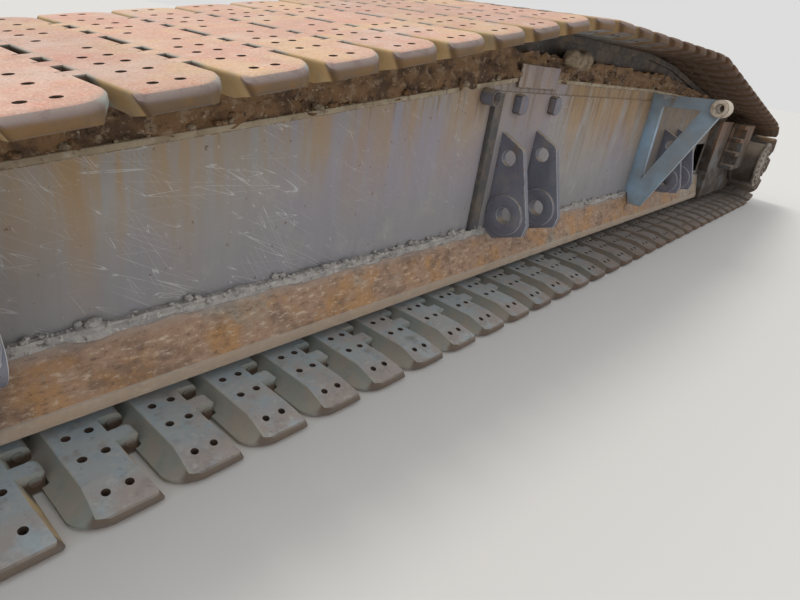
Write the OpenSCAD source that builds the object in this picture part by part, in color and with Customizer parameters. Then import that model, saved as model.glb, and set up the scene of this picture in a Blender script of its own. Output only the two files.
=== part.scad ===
// Crawler track unit of a large lattice-boom crane: a welded side frame with its
// endless track, idler, drive tumbler, rollers, travel gearbox and mounting lugs.
// X runs along the track towards the drive end, -Y is the outer side and the
// origin lies on the ground under the middle of the unit.

/* [Track] */
// Distance between the hinge pins of two shoes
shoe_pitch = 250; // [236:1:258]
// Width of a shoe across the track
shoe_w = 1252; // [1200:2:1300]
// Thickness of a shoe from its tread to its inner face
shoe_t = 75; // [70:1:82]
// Thickness of a shoe at its ends
shoe_end_t = 45; // [40:1:56]
// Length of the slope towards each end of a shoe's inner face
shoe_slope_l = 126; // [100:2:140]
// Height of the hinge line above the tread
hinge_h = 45; // [41:1:48]
// Gap between two shoes on a straight run
shoe_gap = 7; // [5:0.5:12]
// Overall length of the track
track_l = 9616; // [9400:2:9840]
// Radius of the hinge line round the idler
idler_path_r = 374; // [362:1:384]
// Radius of the hinge line round the drive tumbler
drive_path_r = 445; // [435:1:460]
// Tread height of the level crest of the upper run
crest_h = 1473; // [1450:1:1500]
// Where the crest begins, towards the idler
crest_from = -800; // [-900:5:-700]
// Where the crest ends, towards the drive end
crest_to = 1100; // [990:5:1210]
// Radius of the bends at both ends of the crest
crest_r = 1500; // [1200:10:1900]

/* [Girder] */
// Distance from the centre line to the outer face of a side wall
wall_y = 232; // [226:1:240]
// Thickness of a side wall
wall_t = 16; // [10:1:24]
// Thickness of the roof plate
roof_t = 20; // [12:1:26]
// How far the roof plate stands past each side wall
roof_lip = 8; // [4:1:16]
// Height of the lower edge of the side walls
seat_h = 345; // [340:1:356]
// Distance from the idler's axle to the girder's end
idler_reach = 727; // [715:2:760]
// Distance from the drive tumbler's axle to the girder's other end
drive_reach = 733; // [720:1:750]
// Height of the slide rails over the level middle of the roof
rail_h = 233; // [215:1:250]
// Height of the slide rails over the roof at the idler end
rail_back_h = 108; // [90:1:124]
// Height of the slide rails over the roof where it turns steeper
rail_front_h = 48; // [33:1:63]
// Height of the slide rails over the roof at the drive end
rail_end_h = 67; // [52:1:82]
// Where the level middle of the roof begins, towards the idler
roof_from = -865; // [-900:5:-800]
// Where the level middle of the roof ends, towards the drive end
roof_to = 1010; // [950:5:1060]
// Length of the steeper stretch at the drive end
roof_tip_l = 830; // [780:5:880]
// Thickness of the end and floor plates
plate_t = 20; // [14:1:30]
// Thickness of the doubler plate that carries the middle lugs
panel_t = 12; // [8:1:16]
// Height of the doubler plate
panel_h = 710; // [680:2:730]
// Reach of the doubler plate towards the idler
panel_back = 1089; // [1070:2:1120]
// Reach of the doubler plate towards the drive end
panel_front = 1054; // [1010:2:1068]
// Length of the opening in the outer wall
opening_l = 330; // [280:5:360]
// Height of the opening in the outer wall
opening_h = 283; // [240:1:310]
// Height of the opening's sill over the wall's lower edge
opening_up = 67; // [60:1:100]

/* [Skirts] */
// Distance from the centre line to the outer edge of the skirt flange
skirt_y = 301; // [292:1:310]
// Height of the lower edge of the flange
skirt_h = 132; // [122:1:140]
// Height of the flange edge
flange_t = 45; // [34:1:56]
// Width of the flange
flange_w = 70; // [60:1:80]
// How far the skirt plate laps up the wall
skirt_lap = 30; // [20:1:40]
// Thickness of the sloped skirt plate
skirt_t = 14; // [10:1:20]

/* [Rollers and rails] */
// Number of bottom rollers
roller_n = 12; // [10:1:13]
// Radius of a bottom roller's tread
roller_r = 138; // [130:1:140]
// Radius of a bottom roller's waist
roller_waist_r = 90; // [70:1:105]
// Length of a bottom roller
roller_w = 430; // [410:2:440]
// Width of one tread of a bottom roller
roller_tread_w = 120; // [100:2:150]
// Radius of a roller's fixed pin
roller_pin_r = 34; // [28:1:35]
// Distance of the slide rails from the centre line
rail_y = 150; // [130:1:165]
// Width of a slide rail's head
rail_w = 60; // [44:1:80]
// Thickness of a slide rail's head
rail_head_t = 40; // [30:1:46]
// Thickness of a slide rail's web
rail_web_t = 20; // [14:1:26]

/* [Idler end] */
// Radius of the idler's rims
idler_r = 315; // [300:1:317]
// Width of the idler
idler_w = 380; // [350:2:400]
// Width of one rim of the idler
idler_rim_w = 110; // [90:2:130]
// Radius of the idler axle
idler_axle_r = 70; // [60:1:84]
// Thickness of the idler's rims
idler_rim_t = 50; // [40:1:60]
// How deep the idler's sides are dished
idler_dish = 30; // [20:1:40]
// Outer radius of the idler hub
idler_hub_r = 130; // [115:1:145]
// Thickness of a fork plate
fork_t = 30; // [24:1:36]
// Height of a fork plate at the idler
fork_h = 300; // [270:2:340]
// Height of the slot that the axle blocks slide in
slot_h = 150; // [130:2:160]
// Length of the slot that the axle blocks slide in
slot_l = 420; // [400:2:440]
// Length of an axle block
block_l = 152; // [140:2:170]

/* [Drive end] */
// Radius over the teeth of the drive tumbler
tumbler_r = 388; // [376:1:390]
// Root radius of the drive tumbler
tumbler_root_r = 330; // [315:1:345]
// Width of the drive tumbler
tumbler_w = 500; // [470:2:520]
// Number of lobes round the drive tumbler
tumbler_n = 11; // [10:1:12]
// Inner face of a drive plate from the centre line
drive_y = 300; // [292:1:306]
// Thickness of a drive plate
drive_t = 30; // [24:1:36]
// Height of a drive plate over the axle
drive_up = 300; // [280:2:320]
// How far the drive plates reach back along the girder
drive_lap = 460; // [440:2:480]
// Height of a drive plate where it starts
drive_plate_h = 798; // [770:2:810]
// Radius of the travel gearbox
gear_r = 232; // [215:1:245]
// Radius of the gearbox end flange
gear_flange_r = 258; // [250:1:270]
// Outer face of the gearbox from the centre line
gear_y = 626; // [600:1:640]
// Radius of the drive shaft
shaft_r = 90; // [75:1:105]
// Distance from the drive tumbler's axle to the far end of the step box
step_reach = 783; // [760:1:800]
// Length of the step box
step_l = 480; // [440:2:500]
// Depth of the step box
step_w = 130; // [110:2:150]
// Height of one step of the step box
step_h = 145; // [135:1:150]
// Thickness of the steps
step_t = 40; // [30:1:46]
// Height of the post at the start of the drive plates
post_h = 500; // [470:5:520]
// Thickness of that post
post_t = 30; // [24:1:36]

/* [Lugs] */
// Thickness of a mounting lug
lug_t = 32; // [26:1:40]
// Distance between the two lugs of a pair
lug_gap = 350; // [320:2:380]
// Reach of a lug from the centre line
lug_y = 495; // [480:1:510]
// Height of a middle lug where it meets the wall
lug_top_h = 893; // [880:1:900]
// Height of the lower end of a near lug's upright edge
lug_heel_h = 531; // [510:1:560]
// Radius of the upper bore of a lug
lug_hole_r = 39; // [32:1:46]
// Radius of the lower bore of a lug
lug_bore_r = 42; // [34:1:50]
// Outer radius of the ring round the lower bore
lug_ring_r = 104; // [92:1:112]
// How far the ring stands off each face of the lug
lug_ring_t = 14; // [8:1:22]

/* [Carrier forks] */
// Distance of the carrier forks from the middle of the unit
fork_x = 1500; // [1400:10:1600]
// Gap between the two plates of a carrier fork
carrier_gap = 300; // [260:2:340]
// Thickness of a carrier fork plate
carrier_t = 50; // [40:1:60]
// Height of the top of the carrier forks
carrier_top_h = 1010; // [990:2:1024]
// Height of the lower edge of the carrier forks
carrier_low_h = 330; // [316:2:340]
// Height of the lower bores in the carrier forks
carrier_bore_h = 440; // [430:2:460]
// Distance of the upper bores from the top of the carrier forks
carrier_bore_down = 110; // [100:2:140]
// Radius of the bores in the carrier forks
carrier_bore_r = 60; // [50:1:70]

/* [Bracket] */
// Place of the bracket along the unit
bracket_x = 1100; // [1075:1:1125]
// Thickness of the bracket's members
bracket_t = 50; // [40:1:60]
// Height of the bracket's tube
bracket_h = 1120; // [1110:1:1126]
// Distance of the bracket's tube from the centre line
tube_y = 720; // [700:1:740]
// Outer radius of the bracket's tube
tube_r = 62; // [58:1:70]
// Bore radius of the bracket's tube
tube_bore_r = 30; // [24:1:36]
// Length of the bracket's tube
tube_l = 140; // [110:2:170]

/* [Hidden] */
$fn = 48;

// Small clearances between seated pieces and round running fits
seat_gap = 0.3;
run_gap = 0.08;

// Axles and the rings that the hinge line bends round, each as x, z and radius
idler_x = -(track_l / 2 - idler_path_r - hinge_h);
drive_x = track_l / 2 - drive_path_r - hinge_h;
idler_z = idler_path_r + hinge_h;
drive_z = drive_path_r + hinge_h;
crest_z = crest_h - hinge_h - crest_r;
rings = [
    [idler_x, idler_z, idler_path_r],
    [drive_x, drive_z, drive_path_r],
    [crest_to, crest_z, crest_r],
    [crest_from, crest_z, crest_r]
];
ring_n = len(rings);
inner_h = shoe_t - hinge_h;

// Share of a shoe by which the first hinge lies past the start of the lower run
hinge_start = 0.72;

// Heading of the straight run that leaves ring i
function heading(i) =
    let(a = rings[i], b = rings[(i + 1) % ring_n], d = [b[0] - a[0], b[1] - a[1]])
    let(h = atan2(d[1], d[0]) + asin((a[2] - b[2]) / norm(d)))
    h < 0 ? h + 360 : h;
heads = [for (i = [0 : ring_n - 1]) heading(i) % 360];

// Point of the hinge line on ring i where its heading is h
function on_ring(i, h) = [rings[i][0] + rings[i][2] * sin(h), rings[i][1] - rings[i][2] * cos(h)];
run_starts = [for (i = [0 : ring_n - 1]) on_ring(i, heads[i])];
run_ends = [for (i = [0 : ring_n - 1]) on_ring((i + 1) % ring_n, heads[i])];
run_ls = [for (i = [0 : ring_n - 1]) norm(run_ends[i] - run_starts[i])];
turns = [for (i = [0 : ring_n - 1]) (heads[(i + 1) % ring_n] - heads[i] + 360) % 360];
arc_ls = [for (i = [0 : ring_n - 1]) rings[(i + 1) % ring_n][2] * turns[i] * PI / 180];
function loop_l(i = 0) = i == ring_n ? 0 : run_ls[i] + arc_ls[i] + loop_l(i + 1);

// Point of the hinge line at distance s from the start of the lower run
function station(s, i = 0) =
    s <= run_ls[i] ? run_starts[i] + s * [cos(heads[i]), sin(heads[i])]
    : s <= run_ls[i] + arc_ls[i] || i == ring_n - 1
        ? on_ring((i + 1) % ring_n, heads[i] + (s - run_ls[i]) / rings[(i + 1) % ring_n][2] * 180 / PI)
        : station(s - run_ls[i] - arc_ls[i], i + 1);

shoe_n = round(loop_l() / shoe_pitch);
hinge_step = loop_l() / shoe_n;

// Plan and side of a shoe: shoe_x is half its length, its corners are rounded off widely
// on one side and little on the other, and its flanks slope away from the flat inner pad
shoe_x = (shoe_pitch - shoe_gap) / 2;
shoe_y = shoe_w / 2;
corner_r = 96;
corner_in = corner_r * (1 - cos(45));
end_cut = 22;
edge_h = -30;
pad_x = 82;
// Distance from the hinge line to the sloped flanks, which the hinge bars lie between
flank_run = [shoe_x - pad_x, inner_h - edge_h];
flank_d = (flank_run[1] * (shoe_pitch / 2 - shoe_x) - flank_run[0] * edge_h) / norm(flank_run);
hinge_r = flank_d - seat_gap;
hinge_y = shoe_y - 150;

// The box girder's ends
girder_back = -idler_x - idler_reach;
girder_front = drive_x - drive_reach;

// Point t along upper run i, d inside its hinge line, and how far along it x is
function rail_point(i, t, d) =
    run_starts[i] + t * [cos(heads[i]), sin(heads[i])] + d * [-sin(heads[i]), cos(heads[i])];
function rail_at(i, x, d) = (x - rail_point(i, 0, d)[0]) / cos(heads[i]);
rail_in = inner_h + seat_gap;
function rail_top(i, x) = rail_point(i, rail_at(i, x, rail_in), rail_in)[1];

// The girder's side as x and z, along the roof's top edge
roof_steep = girder_front - roof_tip_l;
roof_mid_h = crest_h - shoe_t - rail_h;
roof_back_h = rail_top(3, -girder_back) - rail_back_h;
roof_front_h = rail_top(1, roof_steep) - rail_front_h;
roof_end_h = rail_top(1, girder_front) - rail_end_h;
roof_top = [
    [-girder_back, roof_back_h],
    [roof_from, roof_mid_h],
    [roof_to, roof_mid_h],
    [roof_steep, roof_front_h],
    [girder_front, roof_end_h]
];
roof_n = len(roof_top);
roof_slope = (roof_mid_h - roof_back_h) / (girder_back + roof_from);

// Underside of the roof over the near lugs
function under_roof(x) = roof_back_h + (x + girder_back) * roof_slope - roof_t;

// Extrudes an x-z outline across the unit, and a y-z outline along it
module across(y0, y1) {
    translate([0, y1, 0]) rotate([90, 0, 0]) linear_extrude(y1 - y0) children();
}
module along(x0, x1) {
    translate([x0, 0, 0]) rotate([90, 0, 90]) linear_extrude(x1 - x0) children();
}
// A round bar across the unit, and one along it
module cross_bar(x, z, y0, y1, r) {
    translate([x, y1, z]) rotate([90, 0, 0]) cylinder(h = y1 - y0, r = r);
}
module long_bar(x0, x1, y, z, r) {
    translate([x0, y, z]) rotate([0, 90, 0]) cylinder(h = x1 - x0, r = r);
}

module wall_outline() {
    polygon(concat(
        [for (p = roof_top) [p[0], p[1] - roof_t]],
        [[girder_front, seat_h], [-girder_back, seat_h]]
    ));
}

module outer_wall() {
    color("slategray") difference() {
        across(-wall_y, -wall_y + wall_t) wall_outline();
        translate([drive_start - post_t - 10 - opening_l, -wall_y - 1, seat_h + opening_up])
            cube([opening_l, wall_t + 2, opening_h]);
    }
}

module inner_wall() {
    color("slategray") across(wall_y - wall_t, wall_y) wall_outline();
}

module roof() {
    color("rosybrown") across(-wall_y - roof_lip, wall_y + roof_lip)
        polygon(concat(roof_top, [for (i = [roof_n - 1 : -1 : 0]) roof_top[i] - [0, roof_t]]));
}

floor_h = seat_h + plate_t;
module floor_plate() {
    color("dimgray") translate([-girder_back + plate_t, -wall_y + wall_t, floor_h])
        cube([girder_back + girder_front - 2 * plate_t, 2 * (wall_y - wall_t), plate_t]);
}

module end_plates() {
    color("dimgray") {
        translate([-girder_back, -wall_y + wall_t, seat_h])
            cube([plate_t, 2 * (wall_y - wall_t), roof_back_h - roof_t - seat_h]);
        translate([girder_front - plate_t, -wall_y + wall_t, seat_h])
            cube([plate_t, 2 * (wall_y - wall_t), roof_end_h - roof_t - seat_h]);
    }
}

skirt_top = seat_h + skirt_lap;
module mid_panel() {
    color("slategray") translate([-panel_back, -wall_y - panel_t, skirt_top])
        cube([panel_back + panel_front, panel_t, panel_h]);
}

// The drive plates start before the girder's end, and the skirts end there
drive_start = girder_front - drive_lap;
flange_h = skirt_h + flange_t;

// Sloped skirt plate with its thick lower flange, drawn for the +Y side; the flange
// stands a little past the plate, whose inner face runs from the root to the foot
flange_lip = 4;
skirt_root = wall_y - 6;
skirt_foot = skirt_y - 24;
module skirt() {
    along(-girder_back, drive_start) polygon([
        [wall_y, seat_h],
        [wall_y, skirt_top],
        [wall_y + skirt_t, skirt_top],
        [skirt_y - flange_lip, flange_h],
        [skirt_y, flange_h],
        [skirt_y, skirt_h],
        [skirt_y - flange_w, skirt_h],
        [skirt_y - flange_w, flange_h],
        [skirt_foot, flange_h],
        [skirt_root, seat_h]
    ]);
}

module outer_skirt() {
    color("sienna") mirror([0, 1, 0]) skirt();
}

module inner_skirt() {
    color("sienna") skirt();
}

roller_z = shoe_t + roller_r + seat_gap;
first_roller = 280;
last_roller = 120;
roller_span = girder_back - first_roller + drive_start - last_roller;
function roller_x(i) = -girder_back + first_roller + i * roller_span / (roller_n - 1);
module bottom_rollers() {
    color("dimgray") for (i = [0 : roller_n - 1])
        translate([roller_x(i), 0, roller_z]) rotate([90, 0, 0]) rotate_extrude() polygon([
            [roller_pin_r + seat_gap, -roller_w / 2],
            [roller_r, -roller_w / 2],
            [roller_r, -roller_w / 2 + roller_tread_w],
            [roller_waist_r, -roller_w / 2 + roller_tread_w + 20],
            [roller_waist_r, roller_w / 2 - roller_tread_w - 20],
            [roller_r, roller_w / 2 - roller_tread_w],
            [roller_r, roller_w / 2],
            [roller_pin_r + seat_gap, roller_w / 2]
        ]);
}

skirt_slope = (skirt_foot - skirt_root) / (seat_h - flange_h);
pin_y = skirt_root + skirt_slope * (seat_h - roller_z - roller_pin_r) - seat_gap;
module roller_pins() {
    color("gray") for (i = [0 : roller_n - 1])
        cross_bar(roller_x(i), roller_z, -pin_y, pin_y, roller_pin_r);
}

rail_cut = 170;
function rail_line(d) = [
    rail_point(3, rail_at(3, -girder_back, d), d),
    rail_point(3, rail_cut, d),
    rail_point(2, run_ls[2] - rail_cut, d),
    rail_point(2, rail_cut, d),
    rail_point(1, run_ls[1] - rail_cut, d),
    rail_point(1, rail_at(1, girder_front, d), d)
];
function backwards(list) = [for (i = [len(list) - 1 : -1 : 0]) list[i]];

// Each slide rail is a web on the roof with a flat head under the shoes
module slide_rails() {
    head = rail_line(rail_in);
    neck = rail_line(rail_in + rail_head_t);
    color("rosybrown") for (side = [-1, 1]) {
        across(side * rail_y - rail_w / 2, side * rail_y + rail_w / 2)
            polygon(concat(head, backwards(neck)));
        across(side * rail_y - rail_web_t / 2, side * rail_y + rail_web_t / 2)
            polygon(concat(neck, backwards(roof_top)));
    }
}

// Fork plates that carry the idler, set against the girder's end
fork_y = idler_w / 2 + 12;
fork_tip = idler_x - 100;
slot_x = fork_tip + 20;
block_proud = 12;
journal_r = idler_axle_r - 10;
module idler_fork() {
    color("slategray") for (side = [-1, 1]) {
        y = side > 0 ? fork_y : -fork_y - fork_t;
        difference() {
            across(y, y + fork_t) polygon([
                [-girder_back, seat_h],
                [-girder_back, roof_back_h - roof_t],
                [idler_x + 200, idler_z + fork_h / 2],
                [fork_tip, idler_z + fork_h / 2],
                [fork_tip, idler_z - fork_h / 2],
                [idler_x + 300, idler_z - fork_h / 2]
            ]);
            translate([slot_x, y - 1, idler_z - slot_h / 2]) cube([slot_l, fork_t + 2, slot_h]);
        }
    }
}

module idler_blocks() {
    color("dimgray") for (side = [-1, 1]) {
        y = side > 0 ? fork_y + seat_gap : -fork_y - fork_t - block_proud;
        difference() {
            translate([idler_x - block_l / 2, y, idler_z - slot_h / 2 + seat_gap])
                cube([block_l, fork_t + block_proud - seat_gap, slot_h - 2 * seat_gap]);
            cross_bar(idler_x, idler_z, y - 1, y + fork_t + block_proud + 1, journal_r);
        }
    }
}

module idler_axle() {
    axle_end = fork_y + fork_t + block_proud + 8;
    color("gray") {
        cross_bar(idler_x, idler_z, -fork_y, fork_y, idler_axle_r);
        cross_bar(idler_x, idler_z, -axle_end, axle_end, journal_r - seat_gap);
    }
}

module tension_cylinders() {
    color("dimgray") for (side = [-1, 1])
        long_bar(
            idler_x + block_l / 2 + seat_gap, slot_x + slot_l - seat_gap,
            side * (fork_y + fork_t), idler_z, 28
        );
}

module idler() {
    rim_root_r = idler_r - idler_rim_t;
    half = idler_w / 2;
    color("dimgray") translate([idler_x, 0, idler_z]) rotate([90, 0, 0]) rotate_extrude($fn = 72) polygon([
        [idler_axle_r + run_gap, -half],
        [idler_hub_r, -half],
        [idler_hub_r, -half + idler_dish],
        [rim_root_r, -half + idler_dish],
        [rim_root_r, -half],
        [idler_r, -half],
        [idler_r, -half + idler_rim_w],
        [rim_root_r - 10, -half + idler_rim_w + 20],
        [rim_root_r - 10, half - idler_rim_w - 20],
        [idler_r, half - idler_rim_w],
        [idler_r, half],
        [rim_root_r, half],
        [rim_root_r, half - idler_dish],
        [idler_hub_r, half - idler_dish],
        [idler_hub_r, half],
        [idler_axle_r + run_gap, half]
    ]);
}

// Drive plates on both sides of the tumbler, joined to the girder's end by filler plates
drive_tip = drive_x + 110;
drive_top = skirt_h + drive_plate_h;
drive_out = drive_y + drive_t;
module drive_housing() {
    color("slategray") for (side = [-1, 1]) {
        y = side > 0 ? drive_y : -drive_out;
        difference() {
            union() {
                across(y, y + drive_t) polygon([
                    [drive_start, skirt_h],
                    [drive_start, drive_top],
                    [girder_front - 60, drive_top],
                    [drive_x - 120, drive_z + drive_up],
                    [drive_tip, drive_z + 120],
                    [drive_tip, drive_z - 200],
                    [drive_tip - 90, skirt_h]
                ]);
                translate([drive_start, side > 0 ? wall_y : -drive_y, skirt_h])
                    cube([plate_t, drive_y - wall_y, drive_plate_h]);
            }
            cross_bar(drive_x, drive_z, y - 1, y + drive_t + 1, shaft_r + 60);
        }
    }
}

module drive_tumbler() {
    color("dimgray") translate([drive_x, 0, drive_z]) rotate([90, 0, 0]) difference() {
        union() {
            cylinder(h = tumbler_w, r = tumbler_root_r, center = true);
            for (i = [0 : tumbler_n - 1]) rotate([0, 0, i * 360 / tumbler_n])
                translate([0, 0, -tumbler_w / 2]) linear_extrude(tumbler_w) polygon([
                    [tumbler_root_r - 30, -62],
                    [tumbler_r - 4, -34],
                    [tumbler_r, 0],
                    [tumbler_r - 4, 34],
                    [tumbler_root_r - 30, 62]
                ]);
        }
        for (side = [-1, 1]) translate([0, 0, side * tumbler_w / 2])
            cylinder(h = 120, r = tumbler_root_r - 50, center = true);
        cylinder(h = tumbler_w, r = shaft_r + run_gap, center = true);
    }
}

module drive_hub() {
    hub_y = drive_out - seat_gap;
    color("gray") cross_bar(drive_x, drive_z, -hub_y, hub_y, shaft_r);
}

// The gearbox has a wide foot on the drive plate and an end flange with a recess
flange_y = 26;
gear_foot = 14;
module travel_gearbox() {
    body_l = gear_y - drive_out - flange_y;
    color("dimgray") translate([drive_x, -drive_out, drive_z]) rotate([90, 0, 0])
        rotate_extrude() polygon([
            [0, 0],
            [gear_r + gear_foot, 0],
            [gear_r + gear_foot, 36],
            [gear_r, 44],
            [gear_r, body_l],
            [0, body_l]
        ]);
}

module gearbox_flange() {
    color("tan") difference() {
        cross_bar(drive_x, drive_z, -gear_y, -gear_y + flange_y, gear_flange_r);
        cross_bar(drive_x, drive_z, -gear_y - 1, -gear_y + 8, gear_r - 70);
    }
}

module travel_motor() {
    color("dimgray") {
        cross_bar(drive_x, drive_z, drive_out, drive_out + 110, 190);
        cross_bar(drive_x, drive_z, drive_out + 110, drive_out + 260, 120);
        translate([drive_x - 90, drive_out + 200, drive_z - 90]) cube([180, 100, 180]);
    }
}

step_x = drive_x - step_reach;
step_z = drive_z - 50;
step_n = 3;
module step_box() {
    color("dimgray") translate([step_x, -drive_out - step_w, step_z]) difference() {
        cube([step_l, step_w, step_n * step_h + step_t]);
        for (i = [0 : step_n - 1])
            translate([-1, -1, step_t + i * step_h]) cube([160, step_w - 10, step_h - step_t]);
    }
}

module drive_post() {
    color("slategray") translate([drive_start - post_t, -drive_out, skirt_top + 65])
        cube([post_t, drive_out - wall_y, post_h]);
}

// Lug pairs, each as the x of its first plate, the y that it is welded to and the
// heights of its lower and upper bores; the outer pairs sit lower than the middle one
ring_y = 360;
hole_y = 312;
lug_rows = [
    [-girder_back + 25, wall_y, 470, 700],
    [-995, wall_y + panel_t, 488, 775],
    [1615, wall_y, 458, 745]
];
module lug_bores(x, lower, upper) {
    difference() {
        union() {
            children();
            long_bar(x - lug_ring_t, x + lug_t + lug_ring_t, -ring_y, lower, lug_ring_r);
        }
        long_bar(x - 50, x + lug_t + 50, -ring_y, lower, lug_bore_r);
        long_bar(x - 50, x + lug_t + 50, -hole_y, upper, lug_hole_r);
    }
}

// A middle or far lug, whose drop lowers all but its foot
module lug(x, root, drop) {
    along(x, x + lug_t) polygon([
        [-root, lug_top_h - drop],
        [-hole_y - 66, lug_top_h - 60 - drop],
        [-hole_y - 76, lug_top_h - 75 - drop],
        [-lug_y, 470 - drop],
        [-lug_y + 12, 408 - drop],
        [-hole_y, seat_h],
        [-wall_y - 24, skirt_top],
        [-root, skirt_top]
    ]);
}

// A near lug, which is as high as the wall and reaches down to the flange
module end_lug(x) {
    top = under_roof(x) - 2;
    along(x, x + lug_t) polygon([
        [-wall_y, top],
        [-lug_y + 70, top],
        [-lug_y, top - 70],
        [-lug_y, lug_heel_h],
        [-skirt_y - 30, flange_h + seat_gap],
        [-skirt_y + flange_lip - seat_gap, flange_h + seat_gap],
        [-wall_y - skirt_t - seat_gap, skirt_top],
        [-wall_y, skirt_top]
    ]);
}
module lug_pair(row) {
    color("darkslategray") for (x = [row[0], row[0] + lug_gap])
        lug_bores(x, row[2], row[3])
            if (row[0] < -panel_back) end_lug(x);
            else lug(x, row[1], lug_rows[1][2] - row[2]);
}
module near_lugs() {
    lug_pair(lug_rows[0]);
}
module middle_lugs() {
    lug_pair(lug_rows[1]);
}
module far_lugs() {
    lug_pair(lug_rows[2]);
}

// Triangular bracket: a member on the wall, an arm on top and a diagonal to its foot
side_reach = tube_y + tube_r;
arm_h = 86;
strut_y = wall_y + 87;
nose_y = tube_y - 124;
arm_root = roof_mid_h - roof_t - 6;
arm_top = bracket_h + 58;
function under_arm(y) = arm_root + (arm_top - arm_root) * (y - wall_y) / (tube_y - wall_y) - arm_h;
module side_bracket() {
    color("lightsteelblue") difference() {
        along(bracket_x - bracket_t / 2, bracket_x + bracket_t / 2) difference() {
            polygon([
                [-wall_y, arm_root],
                [-tube_y, arm_top],
                [-tube_y - 5, bracket_h - 62],
                [-wall_y - 150, skirt_top - 80],
                [-wall_y - 60, skirt_top - 80],
                [-wall_y - 22, skirt_top],
                [-wall_y, skirt_top]
            ]);
            polygon([
                [-strut_y, under_arm(strut_y)],
                [-nose_y, under_arm(nose_y)],
                [-strut_y - 9, 508]
            ]);
        }
        long_bar(bracket_x - tube_l, bracket_x + tube_l, -tube_y, bracket_h, tube_r + seat_gap);
    }
}

module bracket_tube() {
    color("wheat") difference() {
        long_bar(bracket_x - tube_l / 2, bracket_x + tube_l / 2, -tube_y, bracket_h, tube_r);
        long_bar(bracket_x - tube_l, bracket_x + tube_l, -tube_y, bracket_h, tube_bore_r);
    }
}

module edge_plate() {
    color("gray") translate([lug_rows[1][0] + 50, -wall_y - roof_lip - 12, roof_mid_h - 55])
        cube([400, 12, 112]);
}

// D-shaped stops above the middle lugs
module stop_bosses() {
    z = skirt_top + panel_h - 55;
    color("slategray") for (x = [lug_rows[1][0] + 78, lug_rows[1][0] + 446]) intersection() {
        cross_bar(x, z, -wall_y - 52, -wall_y - panel_t, 50);
        translate([x - 30, -wall_y - 60, z - 70]) cube([100, 80, 140]);
    }
}

module tube_stub() {
    x = -panel_back - 110;
    z = skirt_top + panel_h - 25;
    color("dimgray") difference() {
        cross_bar(x, z, -wall_y - 70, -wall_y, 38);
        cross_bar(x, z, -wall_y - 71, -wall_y - 10, 28);
    }
}

// Carrier fork on the inner side: two plates with an upper and a lower bore, and
// two ties that join them along the wall
carrier_nose = 90;
tie_w = 160;
module carrier_fork(x) {
    pin_at = side_reach - 110;
    color("slategray") for (x0 = [x - carrier_gap / 2 - carrier_t, x + carrier_gap / 2]) difference() {
        along(x0, x0 + carrier_t) polygon([
            [wall_y, carrier_top_h],
            [side_reach - carrier_nose, carrier_top_h],
            [side_reach, carrier_top_h - carrier_nose],
            [side_reach, carrier_low_h + carrier_nose],
            [side_reach - carrier_nose, carrier_low_h],
            [skirt_y + 20, carrier_low_h],
            [wall_y, skirt_top + 25]
        ]);
        for (z = [carrier_bore_h, carrier_top_h - carrier_bore_down])
            long_bar(x0 - 1, x0 + carrier_t + 1, pin_at, z, carrier_bore_r);
    }
}
module near_carrier_fork() {
    carrier_fork(-fork_x);
}
module far_carrier_fork() {
    carrier_fork(fork_x);
}
module carrier_ties() {
    color("slategray") for (x = [-fork_x, fork_x], z = [skirt_top + 25, carrier_top_h - plate_t])
        translate([x - carrier_gap / 2, wall_y, z]) cube([carrier_gap, tie_w, plate_t]);
}

// One cast shoe, tread down, travelling towards +x on the lower run; its ends are
// eased on the tread side and slope down on the inner side
module shoe() {
    intersection() {
        across(-shoe_y, shoe_y) polygon([
            [-shoe_x, -hinge_h],
            [shoe_x, -hinge_h],
            [shoe_x, edge_h],
            [pad_x, inner_h],
            [-pad_x, inner_h],
            [-shoe_x, edge_h]
        ]);
        translate([0, 0, -hinge_h]) linear_extrude(shoe_t) polygon([
            [-shoe_x, -shoe_y + corner_r],
            [-shoe_x + corner_in, -shoe_y + corner_in],
            [-shoe_x + corner_r, -shoe_y],
            [shoe_x, -shoe_y],
            [shoe_x, shoe_y],
            [-shoe_x + corner_r, shoe_y],
            [-shoe_x + corner_in, shoe_y - corner_in],
            [-shoe_x, shoe_y - corner_r]
        ]);
        along(-shoe_x, shoe_x) polygon([
            [-shoe_y + end_cut, -hinge_h],
            [shoe_y - end_cut, -hinge_h],
            [shoe_y, -hinge_h + end_cut],
            [shoe_y, shoe_end_t - hinge_h],
            [shoe_y - shoe_slope_l, inner_h],
            [-shoe_y + shoe_slope_l, inner_h],
            [-shoe_y, shoe_end_t - hinge_h],
            [-shoe_y, -hinge_h + end_cut]
        ]);
    }
}

// The endless track: each shoe spans two hinges, and a hinge bar lies between two shoes
hinges = [for (i = [0 : shoe_n]) station((i % shoe_n + hinge_start) * hinge_step)];
function chord_a(a, b) = atan2(b[1] - a[1], b[0] - a[0]);
module track() {
    color("rosybrown") for (i = [0 : shoe_n - 1]) {
        a = hinges[i];
        b = hinges[i + 1];
        m = (a + b) / 2;
        translate([m[0], 0, m[1]]) rotate([0, -chord_a(a, b), 0]) shoe();
        bar_a = chord_a(hinges[(i + shoe_n - 1) % shoe_n], b);
        translate([a[0], hinge_y, a[1]]) rotate([0, -bar_a, 0]) rotate([90, 30, 0])
            cylinder(h = 2 * hinge_y, r = hinge_r, $fn = 6);
    }
}

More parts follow.
